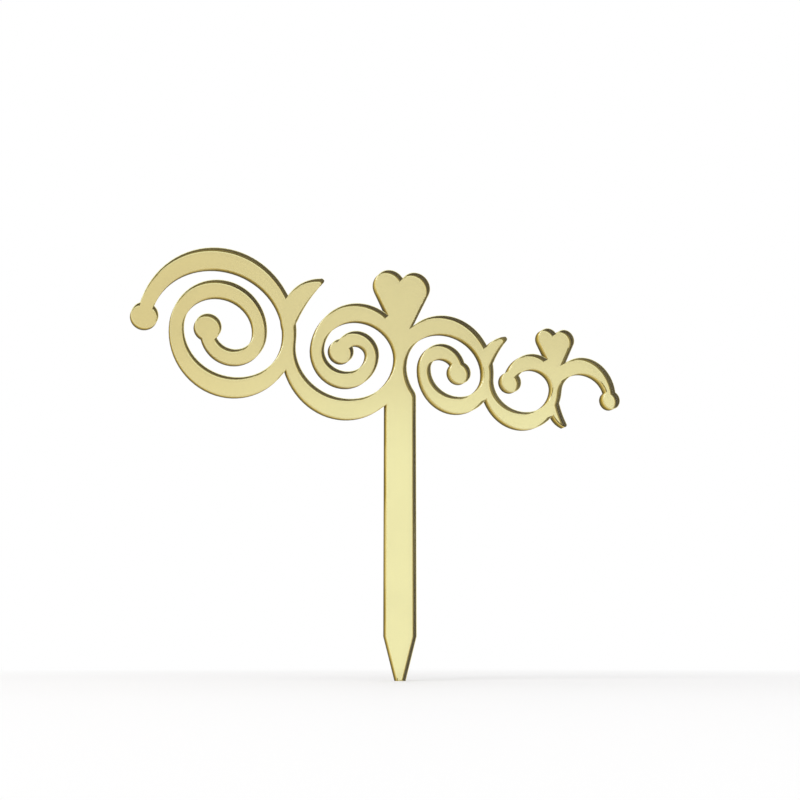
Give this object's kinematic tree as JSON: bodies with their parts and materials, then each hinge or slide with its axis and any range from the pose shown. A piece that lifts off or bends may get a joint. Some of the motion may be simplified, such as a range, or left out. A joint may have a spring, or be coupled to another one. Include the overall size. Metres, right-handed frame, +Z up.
{
  "type": "cake topper",
  "caption": "Flat gold mirror acrylic cake topper: a running scroll with leaves, ball ends and hearts, cut in one outline with a pointed stake that is pushed into a cake.",
  "frame": {"origin": "middle of the stake's section, level with the top of the cake that it stands in", "axes": "+X to the right of the mirror face, +Y from the mirror face to the painted back, +Z up the stake"},
  "size_m": [0.148, 0.003, 0.1188],
  "materials": {
    "gold_tinted_acrylic": "polished clear acrylic with a gold tint and laser-cut edges",
    "aluminium_mirror": "bright vacuum-deposited mirror",
    "grey_back_paint": "matt protective paint"
  },
  "bodies": {
    "root": {"acrylic_sheet": "gold_tinted_acrylic", "mirror_film": "aluminium_mirror", "back_coat": "grey_back_paint"}
  },
  "joints": []
}
